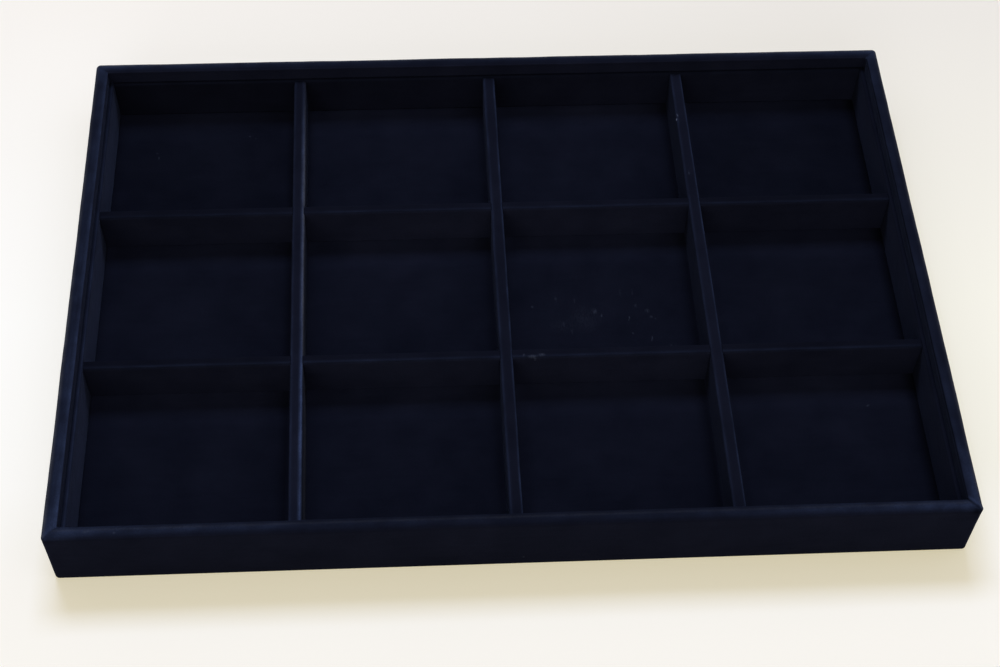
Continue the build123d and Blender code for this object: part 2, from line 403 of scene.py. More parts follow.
def make_outer_velvet():
    section, face_count = outer_section()
    columns = ring_columns(HALF_X, HALF_Y, CORNER_RADIUS)
    vertices = []
    for column in columns:
        for inset, level in section:
            x, y = ring_point(column, inset, HALF_X, HALF_Y, CORNER_RADIUS, INSIDE_CORNER_RADIUS)
            vertices.append((x, y, level))
    rows = len(section)
    piece = new_piece("outer_velvet_cloth", vertices, grid_faces(len(columns), rows, True))
    co, normals = points_of(piece)
    x, y, level = co.T
    on_face = np.tile(np.arange(rows) < face_count - 1, len(columns))
    inset = np.minimum(HALF_X - np.abs(x), HALF_Y - np.abs(y))

    # Hand-stretched cloth: long shallow waves, smaller ones on top, and a softly domed rim
    lift = uneven(co, LONG_WAVE, seed=1) + uneven(co, SMALL_WAVE, seed=2)
    lift *= smooth_step(level, BOTTOM, BOTTOM + 4 * MM)
    rim = smooth_step(level, TOP - 1.2 * MM, TOP - 0.2 * MM)
    lift += rim * RIM_DOME * hill(inset, WALL / 2, 1.6 * MM)
    lift += rim * INNER_BULGE * smooth_step(inset, WALL - 1.2 * MM, WALL - 0.2 * MM)

    # A mitred fold at each corner of the rim, with a painted highlight on its ridge and painted shade in its
    # tuck and groove
    near_top = smooth_step(level, TOP - 5 * MM, TOP - 1 * MM)
    sheen_highlight = np.zeros(len(co))
    crease_shade = np.zeros(len(co))
    for corner, strength in enumerate(FOLD_DEPTH):
        out, off = corner_coordinates(co, corner)
        here = near_top * smooth_step(out, *FOLD_START) * strength
        groove = hill(off, 0, FOLD_HALF_WIDTH) * here
        ridge = hill(off, *RIDGE_BAND) * here
        flap = smooth_step(-off, 0, 0.5 * MM) * (1 - smooth_step(-off, 1 * MM, FLAP_LENGTH)) * here
        lift += FLAP_LIFT * flap + FOLD_RIDGE * ridge - FOLD_GROOVE * groove
        tuck = hill(out, TUCK_OUT, TUCK_SIZE) * hill(off, TUCK_OFF, TUCK_NARROWING * TUCK_SIZE) * here
        lift -= TUCK_DEPTH * tuck
        sheen_highlight += RIDGE_HIGHLIGHT * ridge
        crease_shade += CREASE_SHADES[0] * tuck + CREASE_SHADES[1] * groove
    lift = np.maximum(lift, -DEEPEST)
    set_points(piece, co + normals * (lift * on_face)[:, None])

    rim_highlight, pale = rim_looks(co, inset)
    mottled = 1 + uneven(co, RIM_MOTTLE, 3, 3)
    sheen_highlight += rim * rim_highlight * mottled * (1 - crease_shade)
    # The painted sheen highlight on the rim's top, its corners and the fold ridges
    set_value(piece, "sheen_highlight", np.clip(sheen_highlight, 0, 2) * on_face)
    # The paler painted highlight lines, mottled at random, on the rim's top only
    pale *= smooth_step(level, TOP - 1.6 * MM, TOP - 0.3 * MM) * (1 + uneven(co, HIGHLIGHT_MOTTLE, 2, 4))
    set_value(piece, "pale", np.clip(pale, 0, 1) * on_face)
    # Painted light and shade: a lighter front face, lighter or darker inner faces by side, and darker creases
    outside = 1 - smooth_step(inset, 0.2 * MM, 0.8 * MM)
    facing_front = outside * (y < -HALF_Y + 1.5 * MM)
    inner_face = smooth_step(inset, WALL - 0.5 * MM, WALL - 0.1 * MM)
    shade = (1 + (FRONT_FACE_PAINTED_LIGHT - 1) * facing_front) * (1 - CREASE_DARKENING * np.clip(crease_shade, 0, 1))
    inner_gain = np.ones(len(co))
    inner_gain[x < -HALF_X + INNER_REACH] = INNER_FACE_PAINTED_LIGHT["left"]
    inner_gain[x > HALF_X - INNER_REACH] = INNER_FACE_PAINTED_LIGHT["right"]
    inner_gain[y > HALF_Y - INNER_REACH] = INNER_FACE_PAINTED_LIGHT["rear"]
    shade *= 1 + inner_face * (inner_gain - 1)
    set_value(piece, "lighter", shade - 1)
    set_value(piece, "along_y", HALF_X - np.abs(x) < HALF_Y - np.abs(y))
    return piece


# Boards in velvet: the lining strips and the dividers

BOARD_STEP = 1.0 * MM
FACE_DEPTH = 0.3 * VELVET  # points less deep than this are on the cloth's face
# Unevenness of the cloth on a board: how strong and how large
BOARD_DRIFT = (0.10 * MM, 60 * MM)
BOARD_WAVE = (0.05 * MM, 22 * MM)
BOARD_RIPPLE = (0.04 * MM, 5 * MM)
BOARD_PATCHES = (0.6, 8 * MM)
EDGE_WANDER = (0.14 * MM, 13 * MM)


def wrapped_section(half, bottom, top, radius, back_bottom):
    """A sleeve's section as (across, level), its face first. Its side at -across ends at back_bottom."""
    t, cut = VELVET, CUT_EDGE_RADIUS
    back_cut, face_cut = (-half + t, back_bottom), (half - t, bottom)
    face = rounded_line(
        [back_cut, (-half, back_bottom), (-half, top), (half, top), (half, bottom), face_cut],
        [cut, radius, radius, cut],
        VISIBLE_STEP,
    )
    back = rounded_line(
        [face_cut, (half - t, top - t), (-half + t, top - t), back_cut],
        [radius - t, radius - t],
        HIDDEN_STEP,
    )
    return np.concatenate([face, back[1:-1]])


def sweep(name, section, start, end, place):
    """A shell of that section along a line. place turns (along, across, level) into a point."""
    along = graded(end - start, 0.35 * MM, BOARD_STEP, 1.5 * MM) + start
    vertices = [place(a, across, level) for a in along for across, level in section]
    piece = new_piece(name, vertices, grid_faces(len(along), len(section), False))
    close_ends(piece)
    return piece


def close_ends(piece):
    """Fills the open ends of a shell, and turns all its faces outwards."""
    with opened(piece) as made:
        open_edges = [e for e in made.edges if e.is_boundary]
        bmesh.ops.edgeloop_fill(made, edges=open_edges)
        ends = [f for f in made.faces if len(f.verts) > 4]
        bmesh.ops.triangulate(made, faces=ends)
        bmesh.ops.recalc_face_normals(made, faces=made.faces)


def cut_slots(piece, boxes):
    """Takes boxes, given by two corners and where they are put, out of a piece."""
    for lo, hi, place in boxes:
        corners = [(x, y, z) for x in (lo[0], hi[0]) for y in (lo[1], hi[1]) for z in (lo[2], hi[2])]
        if place:
            corners = [place(*corner) for corner in corners]
        sides = [(0, 1, 3, 2), (4, 6, 7, 5), (0, 4, 5, 1), (2, 3, 7, 6), (0, 2, 6, 4), (1, 5, 7, 3)]
        cutter = new_piece("slot_cutter", corners, sides)
        apply_modifier(piece, "BOOLEAN", object=cutter, operation="DIFFERENCE", solver="EXACT")
        bpy.data.objects.remove(cutter)


def dress_board(piece, across, along, half, top, seed, edge_gains, shades, feet, ridge):
    """Uneven cloth over a board, a painted sheen highlight on its upper edges, and painted light and shade
    on its sides and top.

    edge_gains has how strong and how wide the painted highlight is for the side at -across, then the other.
    shades are the painted light and shade for the side at -across, the top and the other side: each is how
    light it is in the middle of the board, and how much that grows to the end at +along. feet are how much
    lighter the foot of each side is painted than its upper edge.
    """
    co, normals = points_of(piece)
    u, level = across(co), co[:, 2]
    on_side = np.abs(u) > half - FACE_DEPTH
    on_face = on_side | (level > top - FACE_DEPTH)
    drift = uneven(co, BOARD_DRIFT, 1, seed)
    lift = uneven(co, BOARD_WAVE, 2, seed + 1) + uneven(co, BOARD_RIPPLE, 2, seed + 2)
    lift += drift * np.sign(u) * on_side
    near_top = smooth_step(level, top - 1.5 * MM, top - 0.2 * MM)
    lift += near_top * (ridge * hill(np.abs(u), half - 0.9 * MM, 0.6 * MM) - ridge * hill(u, 0, 0.7 * MM))
    lift *= smooth_step(level, FLOOR_TOP, FLOOR_TOP + 2 * MM)
    set_points(piece, co + normals * (lift * on_face)[:, None])
    patchy = np.clip(1 + uneven(co, BOARD_PATCHES, 3, seed + 3), 0.25, 2)
    wander = uneven(co, EDGE_WANDER, 2, seed + 4)
    shoulder = smooth_step(level, top - 1.3 * MM, top - 0.3 * MM)
    sheen_highlight = np.zeros(len(co))
    for side, (gain, width) in zip((-1, 1), edge_gains):
        sheen_highlight += gain * hill(u * side + wander, half - width, width) * shoulder
    set_value(piece, "sheen_highlight", np.clip(sheen_highlight * patchy, 0, 4))
    on_top = smooth_step(level, top - 0.9 * MM, top - 0.2 * MM)
    raised = np.clip((level - FLOOR_TOP) / (top - FLOOR_TOP), 0, 1)
    foot = np.where(u < 0, feet[0], feet[1])
    # Painted light and shade on each side, the top and each foot
    near, above, far = (light * (1 + growth * along(co)) for light, growth in shades)
    side_shade = np.where(u < 0, near, far) * (foot + (1 - foot) * raised)
    shade = side_shade + (above - side_shade) * on_top
    set_value(piece, "lighter", shade - 1)


EVEN = (1.0, 0.0)
THIN_EDGE = 0.5 * MM
LINE_EDGE = 0.38 * MM
HIGHLIGHT_EDGE = 0.6 * MM
LONG_RIDGE = 0.08 * MM
CROSS_RIDGE = 0.04 * MM
LINING_RIDGE = 0.02 * MM


def make_linings():
    """Each strip's face is the side towards the compartments.

    A strip's look is how strong the painted highlight is on its outer and its inner edge, the painted
    shades of its top and of its face, and how much lighter its foot is painted.
    """
    looks = {
        "left": (0.15, 0.40, (1.4, -0.25), (1.5, -0.65), 1.6),
        "right": (0.0, 0.05, (1.0, 0.0), (1.05, 0.0), 1.3),
        "front": (0.1, 0.1, (0.9, 0.0), (1.0, 0.0), 1.0),
        "rear": (0.0, 0.12, (1.0, 0.0), (1.32, 0.3), 1.4),
    }
    pieces = []
    for number, (side, look) in enumerate(looks.items()):
        outer_gain, inner_gain, top_shade, face_shade, foot = look
        lo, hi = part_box(f"{side}_lining_velvet")
        across_x = side in ("left", "right")
        axis = 0 if across_x else 1
        middle, half = (lo[axis] + hi[axis]) / 2, (hi[axis] - lo[axis]) / 2
        facing = 1 if side in ("left", "front") else -1

        def place(a, u, z):
            put = middle + facing * u
            return (put, a * facing, z) if across_x else (-a * facing, put, z)

        section = wrapped_section(half, lo.z, hi.z, LINING_EDGE_RADIUS, hi.z - LINING_TURN_BACK)
        piece = sweep(f"{side}_lining_cloth", section, lo[1 - axis], hi[1 - axis], place)
        dress_board(piece, lambda co: (co[:, axis] - middle) * facing,
                    lambda co: co[:, 1 - axis] / (HALF_X, HALF_Y)[1 - axis], half, hi.z, 11 + 10 * number,
                    ((outer_gain, THIN_EDGE), (inner_gain, THIN_EDGE)),
                    (EVEN, top_shade, face_shade), (1.0, foot), LINING_RIDGE)
        set_value(piece, "along_y", float(across_x))
        pieces.append(piece)
    return pieces


def turned_place(middle, turn):
    """Turns (across, along, level) of a board that stands askew into a point."""
    def place(u, a, z):
        return (middle + u * cos(turn) - a * sin(turn), a * cos(turn) + u * sin(turn), z)
    return place


def across_turned(co, middle, turn):
    return (co[:, 0] - middle) * cos(turn) + co[:, 1] * sin(turn)


OUTER_COLUMNS = (60 * MM, 110 * MM)
CROSS_OUTER_SHADE = 0.2  # how much painted shade darkens the cross dividers in the outer columns
HIGHLIGHT_INSET = 0.25 * MM  # how far in from the left divider's side its painted highlight line runs
HIGHLIGHT_SLIP = 1.1 * MM  # how far the line slips over the edge towards the front
HIGHLIGHT_SLIP_ZONE = (5 * MM, 70 * MM)
OVER_EDGE = 0.07  # a millimetre down the side counts as this much over the edge
HIGHLIGHT_PALENESS = 0.56
HIGHLIGHT_BREAKS = (0.35, 7 * MM)
HIGHLIGHT_FADE = (55 * MM, 112 * MM)  # along the left divider, where its painted highlights give out
HIGHLIGHT_LOSSES = (0.84, 0.75)  # how much of the highlight line and of the edge's painted sheen highlight is gone past there
LINE_OFF_MIDDLE = 1.45 * MM  # the cross dividers' painted highlight line stands this far in front of their middle
LINE_WIDTH = 0.5 * MM
LINE_STRENGTH = 0.9
LINE_BREAKS = (0.55, 11 * MM)


def make_dividers():
    """A long divider's look is its painted edge highlights, its painted shades and its feet, as dress_board
    takes them.
    """
    # Edge gains are painted highlights; shades and feet are painted light and shade
    long_looks = (
        (((0.30, THIN_EDGE), (1.5, HIGHLIGHT_EDGE)), ((0.9, 0.0), (1.4, -0.2), (1.4, 0.25)), (1.0, 0.7)),
        (((0.45, THIN_EDGE), (0.90, LINE_EDGE)), ((1.7, 0.3), (1.2, 0.0), (0.9, 0.0)), (0.18, 1.0)),
        (((0.32, THIN_EDGE), (0.85, LINE_EDGE)), ((1.05, -0.1), (1.28, 0.05), (0.9, 0.0)), (1.4, 1.0)),
    )
    # Painted highlight lines on the cross dividers' tops, and painted light and shade on their faces, tops
    # and feet
    cross_lines = (0.26, 0.34)
    cross_shades = ((2.35, 0.0), (1.05, 0.0), (0.85, 0.0))
    cross_feet = (1.3, 1.0)
    half = LONG_THICKNESS / 2
    pieces = []
    for index, name in enumerate(LONG_DIVIDERS):
        lo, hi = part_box(f"{name}_velvet")
        middle, turn = LONG_MIDDLES[index], LONG_TURNS[index]
        section = wrapped_section(half, lo.z, hi.z, LONG_EDGE_RADIUS, lo.z)
        at = turned_place(middle, turn)
        piece = sweep(f"{name}_cloth", section, -LONG_LENGTH / 2, LONG_LENGTH / 2,
                      lambda a, u, z: at(u, a, z))
        reach = 2 * LONG_THICKNESS
        cut_slots(piece, [
            ((middle - reach, y - t / 2 - LAP_CLEARANCE, lo.z - reach),
             (middle + reach, y + t / 2 + LAP_CLEARANCE, LAP_LEVEL), None)
            for y, t in CROSS_PLACES
        ])
        dress_board(piece, lambda co: across_turned(co, middle, turn),
                    lambda co: co[:, 1] / HALF_Y, half, hi.z, 50 + 10 * index,
                    *long_looks[index], LONG_RIDGE)
        co, _ = points_of(piece)
        u = across_turned(co, middle, turn)
        # A pale painted highlight line along the left divider's right edge, fading towards the rear
        if index == 0:
            slipped = HIGHLIGHT_SLIP * smooth_step(-co[:, 1], *HIGHLIGHT_SLIP_ZONE)
            over_edge = half - u - OVER_EDGE * (hi.z - co[:, 2])
            pale_highlight = hill(over_edge, HIGHLIGHT_INSET - slipped, HIGHLIGHT_EDGE)
            fading = smooth_step(co[:, 1], *HIGHLIGHT_FADE)
            pale_highlight *= 1 - HIGHLIGHT_LOSSES[0] * fading
            pale_highlight *= 1 + uneven(co, HIGHLIGHT_BREAKS, 2, 7)
            set_value(piece, "pale", HIGHLIGHT_PALENESS * np.clip(pale_highlight, 0, 1.3))
            sheen_highlight = read_value(piece, "sheen_highlight")
            sheen_highlight *= 1 - HIGHLIGHT_LOSSES[1] * fading * (u > 0)
            set_value(piece, "sheen_highlight", sheen_highlight)
        set_value(piece, "along_y", 1.0)
        pieces.append(piece)
    for index, name in enumerate(CROSS_DIVIDERS):
        lo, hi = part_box(f"{name}_velvet")
        middle, thickness = CROSS_PLACES[index]
        section = wrapped_section(thickness / 2, lo.z, hi.z, CROSS_EDGE_RADIUS, lo.z)
        piece = sweep(f"{name}_cloth", section, lo.x, hi.x, lambda a, u, z: (-a, middle + u, z))
        gap, reach = half - SLEEVE_OVERLAP, HALF_Y
        cut_slots(piece, [
            ((-gap, -reach, LAP_LEVEL), (gap, reach, hi.z + thickness), turned_place(x, turn))
            for x, turn in zip(LONG_MIDDLES, LONG_TURNS)
        ])
        dress_board(piece, lambda co: co[:, 1] - middle, lambda co: 0 * co[:, 0], thickness / 2, hi.z,
                    90 + 10 * index, (), cross_shades, cross_feet, CROSS_RIDGE)
        co, _ = points_of(piece)
        outer_shade = 1 - CROSS_OUTER_SHADE * smooth_step(np.abs(co[:, 0]), *OUTER_COLUMNS)
        set_value(piece, "lighter", (1 + read_value(piece, "lighter")) * outer_shade - 1)
        line = hill(middle - co[:, 1], LINE_OFF_MIDDLE, LINE_WIDTH) * (co[:, 2] > hi.z - 1 * MM)
        broken = np.clip(LINE_STRENGTH + uneven(co, LINE_BREAKS, 2, 5 + index), 0, 2)
        set_value(piece, "sheen_highlight", cross_lines[index] * line * broken)
        set_value(piece, "along_y", 0.0)
        pieces.append(piece)
    return pieces


# The floor pad and the underside

FLOOR_STEP = 1.6 * MM
CROWN = 0.22 * MM  # how much higher the floor's cloth is in the middle of a compartment
CROWN_WAVE = 0.35
CROWN_WAVE_SIZE = 26 * MM
SKEW_WIDENING = 2 * MM  # how much more of the floor a divider takes up for each degree of its turn
SAME_POINT = 1e-7  # points nearer than this are one
RAGGED_DEPTH = 0.12 * MM
RAGGED_SIZE = 2.5 * MM
# How much lighter the pile is all over; then painted light at the left edge of each compartment,
# painted shade at its right edge, painted light at its back, and painted shade in the outer columns towards
# the rear
FLOOR_GAIN = 0.15
LEFT_EDGE_PAINTED_LIGHT = (0.25, 0.35, 0.45, 1.0)
RIGHT_EDGE_PAINTED_SHADE = (-0.48, -0.22, -0.48, -0.8)
EDGE_WIDTH = 6 * MM
BACK_PAINTED_LIGHT = 1.35
BACK_WIDTH = 9.5 * MM
OUTER_PAINTED_SHADE = 0.26
REAR_ROWS = (-40 * MM, 90 * MM)


def edge_steps(half, radius, step):
    """Places across a pad, close together where its edge is rounded."""
    rounding = [half - radius * (1 - cos(radians(a))) for a in (0, 22.5, 45, 67.5, 90)]
    inner = half - radius
    count = ceil(2 * inner / step)
    middle = [-inner + 2 * inner * k / count for k in range(1, count)]
    return np.array([-r for r in rounding] + middle + rounding[::-1])


def pad_sheet(name, half_x, half_y, bottom, top, radius, step, thickness, height):
    """A sheet over a pad, rounded at its edges and turned down. height gives the top at x, y."""
    xs, ys = edge_steps(half_x, radius, step), edge_steps(half_y, radius, step)

    def drop(value, half):
        over = np.clip(np.abs(value) - (half - radius), 0, radius)
        return radius - sqrt(max(radius ** 2 - over ** 2, 0))

    vertices, index = [], {}
    for i, x in enumerate(xs):
        for j, y in enumerate(ys):
            down = min(hypot(drop(x, half_x), drop(y, half_y)), radius)
            index[i, j] = len(vertices)
            vertices.append((x, y, top - down + height(x, y) * (1 - down / radius)))
    faces = [
        (index[i, j], index[i + 1, j], index[i + 1, j + 1], index[i, j + 1])
        for i in range(len(xs) - 1) for j in range(len(ys) - 1)
    ]
    last_x, last_y = len(xs) - 1, len(ys) - 1
    edge = [(i, 0) for i in range(last_x + 1)] + [(last_x, j) for j in range(1, last_y + 1)]
    edge += [(i, last_y) for i in range(last_x - 1, -1, -1)] + [(0, j) for j in range(last_y - 1, 0, -1)]
    skirt = len(vertices)
    for i, j in edge:
        vertices.append((xs[i], ys[j], bottom))
    for k, key in enumerate(edge):
        after = edge[(k + 1) % len(edge)]
        faces.append((index[key], skirt + k, skirt + (k + 1) % len(edge), index[after]))
    piece = new_piece(name, vertices, faces)
    apply_modifier(piece, "SOLIDIFY", thickness=thickness, offset=-1)
    return piece


def compartment_edges():
    """The clear spans between walls and dividers along X and along Y."""
    inside_x = -lining_hi.x
    inside_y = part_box("rear_lining_velvet")[0].y
    long_places = [
        (x, LONG_THICKNESS + SKEW_WIDENING * abs(degrees(t)))
        for x, t in zip(LONG_MIDDLES, LONG_TURNS)
    ]

    def spans(inside, places):
        edges = [-inside]
        for at, thickness in sorted(places):
            edges += [at - thickness / 2, at + thickness / 2]
        edges.append(inside)
        return list(zip(edges[::2], edges[1::2]))

    return spans(inside_x, long_places), spans(inside_y, CROSS_PLACES)


def make_floor():
    spans_x, spans_y = compartment_edges()

    def bulge(value, spans):
        for lo, hi in spans:
            if lo < value < hi:
                u = (2 * value - lo - hi) / (hi - lo)
                return (1 - u ** 8) ** 2
        return 0.0

    def height(x, y):
        crown = CROWN * bulge(x, spans_x) * bulge(y, spans_y)
        wave = noise.fractal(Vector((x, y, 0)) / CROWN_WAVE_SIZE, 1.0, 2.0, 2)
        return crown * (1 + CROWN_WAVE * wave)

    piece = pad_sheet("floor_cloth", floor_hi.x, floor_hi.y, floor_lo.z, floor_hi.z,
                      FLOOR_EDGE_RADIUS, FLOOR_STEP, VELVET, height)
    x, y, _ = points_of(piece)[0].T
    # Painted light and shade, by place in each compartment
    edges = np.zeros(len(x))
    for column, (lo, hi) in enumerate(spans_x):
        inside = (x >= lo) & (x <= hi)
        edges += inside * LEFT_EDGE_PAINTED_LIGHT[column] * (1 - smooth_step(x - lo, 0, EDGE_WIDTH))
        edges += inside * RIGHT_EDGE_PAINTED_SHADE[column] * (1 - smooth_step(hi - x, 0, EDGE_WIDTH))
    behind = np.zeros(len(x))
    for lo, hi in spans_y:
        inside = (y >= lo) & (y <= hi)
        behind += inside * hill(hi - y, 0, BACK_WIDTH)
    outer = smooth_step(np.abs(x), *OUTER_COLUMNS) * smooth_step(y, *REAR_ROWS)
    shade = (1 + FLOOR_GAIN + edges) * (1 + BACK_PAINTED_LIGHT * behind) * (1 - OUTER_PAINTED_SHADE * outer)
    set_value(piece, "lighter", shade - 1)
    set_value(piece, "along_y", 0.0)
    return piece


def make_underside():
    """The felt sheet under the tray, with softly cut edges."""
    lo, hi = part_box("bottom_cover")
    half_x, half_y, thick = hi.x, hi.y, hi.z - lo.z
    columns = ring_columns(half_x, half_y, FELT_CORNER_RADIUS)
    roll = thick / 2
    section = []
    for a in (-90, -60, -30, 0, 30, 60, 90):
        turn = radians(a)
        section.append((roll * (1 - cos(turn)), lo.z + roll + roll * sin(turn)))
    vertices = []
    for column in columns:
        for inset, level in section:
            x, y = ring_point(column, inset, half_x, half_y, FELT_CORNER_RADIUS, FELT_CORNER_RADIUS / 2)
            ragged = RAGGED_DEPTH * noise.noise(Vector((x, y, 0)) / RAGGED_SIZE)
            vertices.append((x * (1 + ragged / half_x), y * (1 + ragged / half_y), level))
    rows = len(section)
    faces = [f for f in grid_faces(len(columns), rows, True) if abs(f[0] % rows - f[3] % rows) == 1]
    faces.append([i * rows for i in range(len(columns))])
    faces.append([i * rows + rows - 1 for i in range(len(columns))])
    piece = new_piece("felt_underside", vertices, faces)
    with opened(piece) as made:
        flats = [f for f in made.faces if len(f.verts) > 4]
        bmesh.ops.inset_region(made, faces=flats, thickness=FELT_INSET, depth=0, use_even_offset=True)
        flats = [f for f in made.faces if len(f.verts) > 4]
        bmesh.ops.triangulate(made, faces=flats)
    with opened(piece) as made:
        bmesh.ops.remove_doubles(made, verts=made.verts, dist=SAME_POINT)
        bmesh.ops.recalc_face_normals(made, faces=made.faces)
    return piece


# Materials

class Nodes:
    """The nodes of a new material, or of a world, made and linked in few words."""

    def __init__(self, name, group=bpy.data.materials, output="ShaderNodeOutputMaterial"):
        self.owner = group.new(name)
        self.owner.use_nodes = True
        self.tree = self.owner.node_tree
        self.tree.nodes.clear()
        self.out = self.tree.nodes.new(output)

    def add(self, kind, inputs=None, **settings):
        node = self.tree.nodes.new("ShaderNode" + kind)
        for key, value in settings.items():
            setattr(node, key, value)
        for key, value in (inputs or {}).items():
            self.put(node.inputs[key], value)
        return node

    def put(self, socket, value):
        """Links another node's output to a socket, or sets a plain value on it."""
        if isinstance(value, bpy.types.NodeSocket):
            self.tree.links.new(value, socket)
        else:
            socket.default_value = value

    def math(self, operation, a, b):
        return self.add("Math", {0: a, 1: b}, operation=operation).outputs[0]

    def plus(self, a, b):
        return self.math("ADD", a, b)

    def times(self, a, b):
        return self.math("MULTIPLY", a, b)

    def mix(self, share, a, b, beyond=False):
        """Colour a to b by share. beyond lets a share over 1 go on past b."""
        node = self.add("Mix", {"Factor": share}, data_type="RGBA", clamp_factor=not beyond)
        self.put(node.inputs[6], a)
        self.put(node.inputs[7], b)
        return node.outputs[2]

    def range(self, value, low, high, new_low=0.0, new_high=1.0):
        inputs = {"Value": value, "From Min": low, "From Max": high, "To Min": new_low, "To Max": new_high}
        return self.add("MapRange", inputs).outputs[0]

    def point(self):
        """The point in the tray's frame, in metres."""
        return self.add("TexCoord").outputs["Object"]

    def place(self, stretch=(1, 1, 1)):
        return self.add("Mapping", {"Vector": self.point(), "Scale": stretch}).outputs[0]

    def noise(self, at, size, detail=2.0, rough=0.5):
        inputs = {"Vector": at, "Scale": 1 / size, "Detail": detail, "Roughness": rough}
        return self.add("TexNoise", inputs).outputs[0]

    def value(self, name):
        return self.add("Attribute", attribute_name=name).outputs["Fac"]

    def bump(self, height, strength, distance, normal=None):
        inputs = {"Height": height, "Strength": strength, "Distance": distance}
        if normal is not None:
            inputs["Normal"] = normal
        return self.add("Bump", inputs).outputs[0]

    def surface(self, inputs):
        shader = self.add("BsdfPrincipled", inputs)
        self.put(self.out.inputs["Surface"], shader.outputs[0])
        return self.owner


PATCH_SIZE = 14 * MM
BROAD_SIZE = 55 * MM
STREAK_SIZE = 18 * MM
TUFT_SIZE = 0.7 * MM
GRAIN_SIZE = 0.22 * MM
SCUFF_BREAKS = 1.1 * MM
VELVET_DEEP = (0.0038, 0.0045, 0.0098, 1)
VELVET_FACE = (0.0056, 0.0065, 0.0136, 1)
VELVET_SHEEN_HIGHLIGHT = (0.0165, 0.0230, 0.0500, 1)
VELVET_SHEEN_TINT = (0.42, 0.52, 1.0, 1)
VELVET_PALE_HIGHLIGHT = (0.056, 0.059, 0.076, 1)
SCUFF_COLOUR = (0.060, 0.070, 0.105, 1)


def velvet(name, sheen=0.06, scuffs=()):
    """Short dense pile: patches where it leans, streaks along the cloth, a fine grain and scuffs, with
    painted sheen highlights, paler painted highlight lines and painted light and shade.

    A scuff is its middle and its half sizes, in millimetres, its turn seen from above in degrees,
    and how pale it is.
    """
    n = Nodes(name)
    place = n.place()
    patches = n.noise(place, PATCH_SIZE, 3.0, 0.55)
    broad = n.noise(place, BROAD_SIZE)
    across_x = n.noise(n.place((1, 7, 7)), STREAK_SIZE)
    across_y = n.noise(n.place((7, 1, 7)), STREAK_SIZE)
    along_y = n.value("along_y")
    streaks = n.add("Mix", {"Factor": along_y}, data_type="FLOAT")
    n.put(streaks.inputs[2], across_x)
    n.put(streaks.inputs[3], across_y)
    streaks = streaks.outputs[0]
    grain = n.noise(place, GRAIN_SIZE, 3.0, 0.7)
    tufts = n.noise(place, TUFT_SIZE, 2.0, 0.6)

    tone = n.plus(n.times(patches, 0.55), n.times(broad, 0.35))
    tone = n.plus(tone, n.times(streaks, 0.15))
    tone = n.range(tone, 0.36, 0.68)
    cloth = n.mix(tone, VELVET_DEEP, VELVET_FACE)
    sheen_highlight = n.times(n.value("sheen_highlight"), n.range(streaks, 0.3, 0.7, 0.6, 1.2))
    sheen_highlight = n.times(sheen_highlight, n.range(tufts, 0.3, 0.7, 0.75, 1.2))
    # The painted sheen highlight, in a lighter blue
    colour = n.mix(sheen_highlight, cloth, VELVET_SHEEN_HIGHLIGHT, beyond=True)
    # Paler painted highlight lines
    pale_highlight = n.times(n.value("pale"), n.range(tufts, 0.3, 0.7, 0.7, 1.2))
    colour = n.mix(pale_highlight, colour, VELVET_PALE_HIGHLIGHT)
    broken = n.range(n.noise(n.place((2.2, 0.7, 1)), SCUFF_BREAKS, 2.0, 0.6), 0.36, 0.60)
    for middle, half_sizes, turn, paleness in scuffs:
        local = n.add("Mapping", {
            "Vector": n.point(),
            "Location": [c * MM for c in middle],
            "Rotation": (0, 0, radians(turn)),
            "Scale": [s * MM for s in half_sizes],
        }, vector_type="TEXTURE").outputs[0]
        away = n.add("VectorMath", {0: local}, operation="LENGTH").outputs["Value"]
        mark = n.times(n.range(away, 0.1, 1.0, paleness, 0.0), broken)
        colour = n.mix(mark, colour, SCUFF_COLOUR, beyond=True)
    speckle = n.range(grain, 0.25, 0.75, 0.72, 1.28)
    # Painted light and shade: the lighter value scales the colour
    shade = n.times(n.plus(1.0, n.value("lighter")), speckle)
    colour = n.add("VectorMath", {0: colour}, operation="SCALE")
    n.put(colour.inputs["Scale"], shade)
    leaning = n.plus(n.times(patches, 0.6), n.times(streaks, 0.4))
    lean = n.bump(leaning, 0.3, 1.2 * MM)
    nap = n.bump(tufts, 0.35, 0.25 * MM, lean)
    fibres = n.bump(grain, 0.5, 0.12 * MM, nap)
    return n.surface({
        "Base Color": colour.outputs[0],
        "Roughness": 1.0,
        "Specular IOR Level": 0.02,
        "Sheen Weight": sheen,
        "Sheen Roughness": 0.35,
        "Sheen Tint": VELVET_SHEEN_TINT,
        "Normal": fibres,
    })


def felt(name):
    """Matted fibres, a little lighter than the velvet."""
    n = Nodes(name)
    place = n.place()
    matted = n.noise(place, 1.4 * MM, 4.0, 0.65)
    strands = n.noise(n.place((1, 5, 1)), 0.9 * MM, 3.0, 0.6)
    crossing = n.noise(n.place((5, 1, 1)), 0.9 * MM, 3.0, 0.6)
    mixed = n.plus(n.times(strands, 0.5), n.times(crossing, 0.5))
    tone = n.range(n.plus(matted, mixed), 0.75, 1.25)
    colour = n.mix(tone, (0.0055, 0.0058, 0.0075, 1), (0.016, 0.017, 0.021, 1))
    rough = n.range(matted, 0.3, 0.7, 0.9, 1.0)
    normal = n.bump(mixed, 0.6, 0.2 * MM, n.bump(matted, 0.4, 0.4 * MM))
    return n.surface({"Base Color": colour, "Roughness": rough, "Specular IOR Level": 0.08,
                      "Sheen Weight": 0.08, "Sheen Roughness": 0.5, "Normal": normal})


